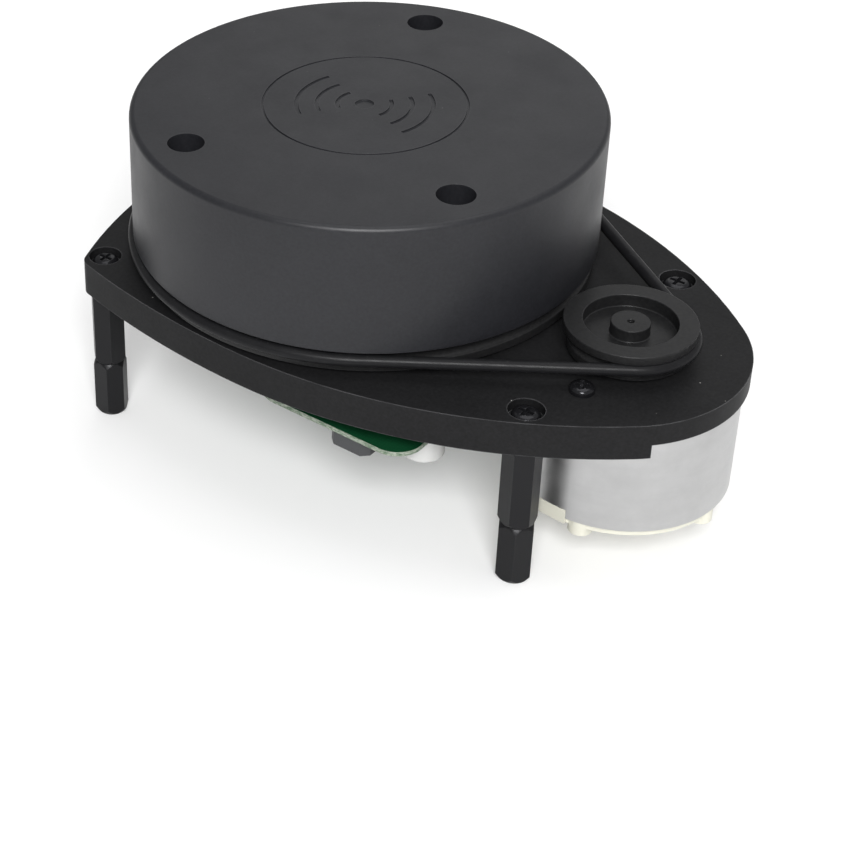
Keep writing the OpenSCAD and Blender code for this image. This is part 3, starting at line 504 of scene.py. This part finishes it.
class BoardArt:
    """Solder, vias, tracks and print on the main board, gathered into one mesh of each."""

    def __init__(self):
        low, high = span("main_board")
        self.under, self.over = low.z, high.z
        self.solder, self.vias, self.tracks, self.ink = (bmesh.new() for _ in range(4))

    def run(self, path, width=0.25, above=False):
        """Track on the lower or the upper face."""
        if above:
            track(self.tracks, path, width, self.over - SUNK, self.over + COPPER)
        else:
            track(self.tracks, path, width, self.under - COPPER, self.under + SUNK)

    def via(self, spot, radius=0.34, above=False):
        """End of a plated hole on the lower or the upper face."""
        if above:
            blob(self.vias, spot, radius, self.over + COPPER, VIA_HEIGHT)
        else:
            blob(self.vias, spot, radius, self.under - COPPER, -VIA_HEIGHT)

    def pad(self, mid, along, half_long, half_wide, thick):
        """Slab of solder on the lower face."""
        across = across_of(along)
        corners = [mid + along * half_long * a + across * half_wide * b for a, b in CORNERS]
        prism(self.solder, corners, self.under - thick, self.under + SUNK)

    def brackets(self, mid, along, half_long, half_wide):
        """Printed corner brackets round a package."""
        across = across_of(along)
        for a, b in CORNERS:
            corner = mid + along * half_long * a + across * half_wide * b
            leg = min(half_long, half_wide) * 0.6
            track(self.ink, [corner - along * a * leg, corner, corner - across * b * leg], 0.15,
                  self.under - INK, self.under + SUNK / 2)

    def fan(self, centre, legs):
        """Tracks that fan out from a chip's legs to vias."""
        for leg in legs:
            spot = middle(leg).xy
            out = spot - centre
            if abs(out.x) > abs(out.y):
                step, side = Vector((math.copysign(1, out.x), 0)), Vector((0, out.y))
            else:
                step, side = Vector((0, math.copysign(1, out.y))), Vector((out.x, 0))
            start = spot + step * 0.4
            bend = start + step * (1.0 + 0.9 * (round(side.length) % 3))
            lean = side.normalized() if side.length > 0.1 else Vector((0, 0))
            end = bend + (step + lean) * (0.8 + 0.25 * side.length)
            self.run([start, bend, end], 0.22)
            self.via(end, 0.32)
            blob(self.solder, start, 0.28, self.under, -0.22)

    def bus(self, pins):
        """Tracks from the data header's pins to the middle of the board, on its upper face."""
        for i, pin in enumerate(pins):
            root = Vector((pin[1].x - 0.25, middle(pin).y))
            lift = (i - (len(pins) - 1) / 2) * 0.9
            path = [root, root + Vector((2.0 + 0.35 * i, 0)), Vector((root.x + 4.4 + 0.35 * i, lift)),
                    Vector((root.x + 12 + 0.8 * i, lift))]
            self.run(path, 0.35, above=True)
            self.via(path[-1], 0.4, above=True)
            self.via(path[-1], 0.4)
            blob(self.solder, root, 0.75, self.over, 0.62)

    def small_parts(self, parts):
        """Solder and a track at both ends of each small part, and print round it."""
        for part in parts:
            size, mid = part[1] - part[0], middle(part).xy
            along = Vector((1, 0)) if size.x > size.y else Vector((0, 1))
            across = across_of(along)
            half = max(size.x, size.y) / 2
            for end in (-1, 1):
                spot = mid + along * end * (half + 0.15)
                self.pad(spot, along, 0.35, 0.62, 0.16)
                bend = spot + along * end * (1.0 + 0.5 * random.random())
                self.run([spot, bend, bend + (along * end + across) * random.choice((0.9, 1.6))])
            self.brackets(mid, along, half + 0.85, 0.95)

    def loose_tracks(self, kept_off):
        """Scattered tracks between vias, clear of the (place, radius) pairs in kept_off."""
        for _ in range(LOOSE_TRACKS):
            spot = Vector((random.uniform(-24, 24), random.uniform(-25, 25)))
            way = Vector(random.choice(((1, 0), (0, 1), (1, 1), (1, -1)))).normalized()
            reach = random.uniform(1.5, 5)
            far = spot + way * reach
            clear = all((p - place).length > keep
                        for p in (spot, far, (spot + far) / 2) for place, keep in kept_off)
            if clear and far.length < BOARD_REACH and spot.length < BOARD_REACH:
                self.run([spot, far])
                self.via(spot)
                self.via(far)
                self.run([far, far - across_of(way) * reach * 0.6], above=True)
                self.via(far, above=True)

    def finish(self):
        make("board_solder", self.solder, "screw_steel", "base")
        make("board_vias", self.vias, "contact_brass", "base")
        make("board_tracks", self.tracks, "board_green", "base", smooth=False)
        make("board_print", self.ink, "connector_white", "base", smooth=False)


def board_details():
    small, chips = islands("board_small_parts"), islands("controller_chip")
    chip = max(chips, key=lambda box: (box[1] - box[0]).xy.length)
    centre, level = middle(chip).xy, Vector((1, 0))
    art = BoardArt()
    art.fan(centre, [box for box in chips if box is not chip and (box[1] - box[0]).xy.length < 3])
    art.bus(islands("data_pins"))
    art.small_parts(small)
    art.brackets(centre, level, 5.6, 5.6)
    for name, grow in (("power_inductor", 0.5), ("motor_connector", 0.6)):
        box = span(name)
        half = (box[1] - box[0]) / 2
        art.brackets(middle(box).xy, level, half.x + grow, half.y + grow)

    kept_off = [(middle(b).xy, (b[1] - b[0]).xy.length / 2 + 1.2) for b in small + [chip]]
    kept_off += [(middle(span(n)).xy, (span(n)[1] - span(n)[0]).xy.length / 2 + 0.8)
                 for n in ("power_inductor", "bulk_capacitor", "motor_connector", "data_connector")]
    kept_off += [(middle(b).xy, 3.2) for b in islands("board_screws")] + [(Vector((0, 0)), 3.5)]
    art.loose_tracks(kept_off)

    for name in ("power_inductor", "bulk_capacitor"):
        box = span(name)
        half = (box[1] - box[0]) / 2
        for end in (-1, 1):
            art.pad(middle(box).xy + level * end * (half.x - 0.2), level, 0.75, 1.1, 0.3)
    art.finish()

    dot = bmesh.new()
    lathe(dot, chip[0].xy + Vector((1.2, 1.2)), [(0.45, chip[0].z - 0.02), (0.5, chip[0].z + 0.01)], 20)
    make("chip_dot", dot, "ferrite", "base")


# ---------------------------------------------------------------- motor details
CAP_DEPTH = 1.1  # how far the end cap's face stands below the can
RIB_SUNK = 0.02


def motor_details():
    """Ribs on the motor's end cap, solder on its terminals and crimps on its wires."""
    low, high = span("motor_can")
    centre = middle((low, high)).xy
    face = low.z - CAP_DEPTH
    ribs = bmesh.new()
    for radius, height in ((13.9, 0.35), (9.2, 0.3)):
        section = ((-0.35, RIB_SUNK), (-0.25, -height), (0.25, -height), (0.35, RIB_SUNK))
        loft(ribs, [[(centre.x + math.cos(a) * (radius + d), centre.y + math.sin(a) * (radius + d), face + z)
                     for d, z in section] for a in turns(48)], closed=True)
    for a in turns(6):
        out = Vector((math.cos(a + math.radians(15)), math.sin(a + math.radians(15))))
        track(ribs, [centre + out * 4.6, centre + out * 8.8], 0.7, face - 0.28, face + RIB_SUNK)
    make("motor_cap_ribs", ribs, "cap_nylon", "base", smooth=False)

    joints, crimps = bmesh.new(), bmesh.new()
    for box in islands("motor_terminals"):
        foot = box[0].z
        lathe(joints, middle(box).xy, [(0.25, foot - 0.25), (0.8, foot + 0.1), (0.95, foot + 0.6),
                                       (0.7, foot + 1.1), (0.3, foot + 1.35)], 16)
    make("terminal_solder", joints, "screw_steel", "base")
    for box in islands("motor_wires"):
        top = box[1].z
        lathe(crimps, (box[0].x + 0.5, box[1].y - 0.5),
              [(0.62, top - 3.2), (0.7, top - 3.0), (0.7, top - 1.4), (0.62, top - 1.2)], 16)
    make("wire_crimps", crimps, "contact_brass", "base")


# ---------------------------------------------------------------- thread in the feet
THREAD_RADIUS = 1.25
THREAD_PITCH = 0.45
THREAD_TURNS = 13
THREAD_START = 0.35
THREAD_CORD = 0.17


def leg_threads():
    """Thread in each foot's hole, as a cord that winds up its wall."""
    threads = bmesh.new()
    steps = 20
    for leg in islands("lower_standoffs"):
        x, y = middle(leg).xy
        path = []
        for i in range(THREAD_TURNS * steps):
            a = 2 * math.pi * i / steps
            path.append((x + THREAD_RADIUS * math.cos(a), y + THREAD_RADIUS * math.sin(a),
                         THREAD_START + THREAD_PITCH * i / steps))
        sweep(threads, path, THREAD_CORD, 6)
    make("leg_threads", threads, "leg_metal", "base")


# ---------------------------------------------------------------- optics details
def optics_details():
    """Slotted retaining ring in front of each lens, on the turret."""
    side = (middle(span("laser_lens")) - middle(span("receiver_lens"))).xy
    heading = math.atan2(side.y, side.x) - math.pi / 2  # the lenses look square to the line between them
    facing = Matrix.Rotation(heading, 3, "Z") @ Matrix(((0, 0, 1), (1, 0, 0), (0, 1, 0)))
    back, front, lip, sides = 0.9, 1.7, 0.15, 64
    for name, lens, outer, inner in (("laser_ring", "laser_lens", 2.9, 2.3),
                                     ("receiver_ring", "receiver_lens", 4.9, 4.1)):
        mid = middle(span(lens))
        ring = bmesh.new()
        rows = []
        for i, a in enumerate(turns(sides)):
            top = front - (0.35 if i % (sides // 2) in (0, 1) else 0.0)
            section = ((inner, back), (outer, back), (outer, top), (inner + lip, top), (inner, top - 0.2))
            rows.append([facing @ Vector((r * math.cos(a), r * math.sin(a), z)) + mid for r, z in section])
        loft(ring, rows, closed=True)
        make(name, ring, "barrel_black", "turret", smooth=False)


board_details()
motor_details()
leg_threads()
optics_details()


# ---------------------------------------------------------------- studio
AIM = (0.015, 0.0, 0.03)
FLOOR_REACH = 3.0
FLOOR_DROP = 0.0001  # below the feet, so that the two faces do not meet
ROOM_BRIGHT_SIDE = (0.94, 0.34, 0.0)
VIEW_ANGLES = (49.106, 31.901, -6.096)  # azimuth, elevation and roll, in degrees
VIEW_PLACE = (0.15747, -0.22930, 0.15352)  # from the origin, with z from the top of the object
LENS, SENSOR = 87.97, 36.0
SHIFTS = (("shift_x", 0.6124), ("shift_y", -0.2258))


def softbox(name, place, size, power):
    light = bpy.data.lights.new(name, "AREA")
    light.shape = "RECTANGLE"
    light.size, light.size_y = size
    light.energy = power
    o = bpy.data.objects.new(name, light)
    o.location = place
    o.rotation_euler = (Vector(AIM) - Vector(place)).to_track_quat("-Z", "Y").to_euler()
    bpy.context.scene.collection.objects.link(o)


def floor():
    """Pale matt floor, clear from below so that the underside can be looked at."""
    mesh = bpy.data.meshes.new("floor")
    mesh.from_pydata([(a * FLOOR_REACH, b * FLOOR_REACH, 0) for a, b in CORNERS], [], [(0, 1, 2, 3)])
    o = bpy.data.objects.new("floor", mesh)
    o.location.z = -FLOOR_DROP
    bpy.context.scene.collection.objects.link(o)
    s = Shader("floor")
    shade = s.mix(s.noise(60), (0.80, 0.80, 0.80), (0.83, 0.83, 0.83))
    # Its glow, weaker near the object as a painted shade round it and stronger away from it, is seen by the
    # camera only and lights nothing
    glow = s.remap(s.vector("LENGTH", s.coord, (0.0, 0.0, 0.0)), 0.07, 0.20, 0.22, 0.45)
    glow = s.times(s.add("ShaderNodeLightPath").outputs["Is Camera Ray"], glow)
    s.finish(shade, 0.9, specular=0.1, Emission_Strength=glow, Emission_Color=shade)
    from_below = s.add("ShaderNodeNewGeometry").outputs["Backfacing"]
    clear = s.add("ShaderNodeBsdfTransparent").outputs[0]
    blend = s.add("ShaderNodeMixShader", inputs={0: from_below, 1: s.bsdf.outputs[0], 2: clear})
    s.join(blend.outputs[0], s.out.inputs[0])
    mesh.materials.append(s.mat)


def room():
    """Soft grey surroundings, brighter on one side, that the camera itself sees as white."""
    world = bpy.data.worlds.new("studio")
    bpy.context.scene.world = world
    world.use_nodes = True
    sky = world.node_tree.nodes["Background"]
    sky.inputs["Color"].default_value = colour((1.0, 1.0, 1.0))
    add, join = world.node_tree.nodes.new, world.node_tree.links.new
    dot, graded, seen = (add("ShaderNode" + kind) for kind in ("VectorMath", "MapRange", "Math"))
    dot.operation = "DOT_PRODUCT"
    dot.inputs[1].default_value = ROOM_BRIGHT_SIDE
    join(add("ShaderNodeTexCoord").outputs["Generated"], dot.inputs[0])
    join(dot.outputs["Value"], graded.inputs["Value"])
    for label, value in (("From Min", -1.0), ("From Max", 1.0), ("To Min", 0.26), ("To Max", 0.46)):
        graded.inputs[label].default_value = value
    seen.operation = "MAXIMUM"
    join(graded.outputs[0], seen.inputs[0])
    join(add("ShaderNodeLightPath").outputs["Is Camera Ray"], seen.inputs[1])
    join(seen.outputs[0], sky.inputs["Strength"])


def camera():
    """The reference view. The frame is an off-centre cut, so the lens is shifted while the
    camera stands at that place, and is straight from anywhere else."""
    azimuth, elevation, roll = (math.radians(a) for a in VIEW_ANGLES)
    back = Vector((math.sin(azimuth) * math.cos(elevation), -math.cos(azimuth) * math.cos(elevation),
                   math.sin(elevation)))
    right = Vector((math.cos(azimuth), math.sin(azimuth), 0.0))
    up = back.cross(right)
    tilted = right * math.cos(roll) + up * math.sin(roll)
    upright = up * math.cos(roll) - right * math.sin(roll)
    data = bpy.data.cameras.new("camera")
    data.lens, data.sensor_width = LENS, SENSOR
    data.clip_start, data.clip_end = 0.01, 20.0
    o = bpy.data.objects.new("camera", data)
    place = Vector(VIEW_PLACE) + Vector((0.0, 0.0, CAD_BOX[1][2]))
    o.matrix_world = Matrix.Translation(place) @ Matrix((tilted, upright, back)).transposed().to_4x4()
    bpy.context.scene.collection.objects.link(o)
    for path, shift in SHIFTS:
        driver = data.driver_add(path).driver
        driver.type = "SCRIPTED"
        var = driver.variables.new()
        var.name, var.type = "x", "TRANSFORMS"
        var.targets[0].id = o
        var.targets[0].transform_type = "LOC_X"
        var.targets[0].transform_space = "WORLD_SPACE"
        driver.expression = "%f if abs(x - %f) < 0.0005 else 0.0" % (shift, place.x)
    bpy.context.scene.camera = o


floor()
room()
softbox("key", (0.41, -0.57, 0.62), (0.35, 0.35), 8.0)
softbox("sheen", (-0.30, 0.72, 0.50), (0.6, 0.4), 0.4)
softbox("top", (0.0, 0.15, 0.90), (0.7, 0.7), 2.2)
bpy.context.scene.view_settings.view_transform = "Standard"
camera()
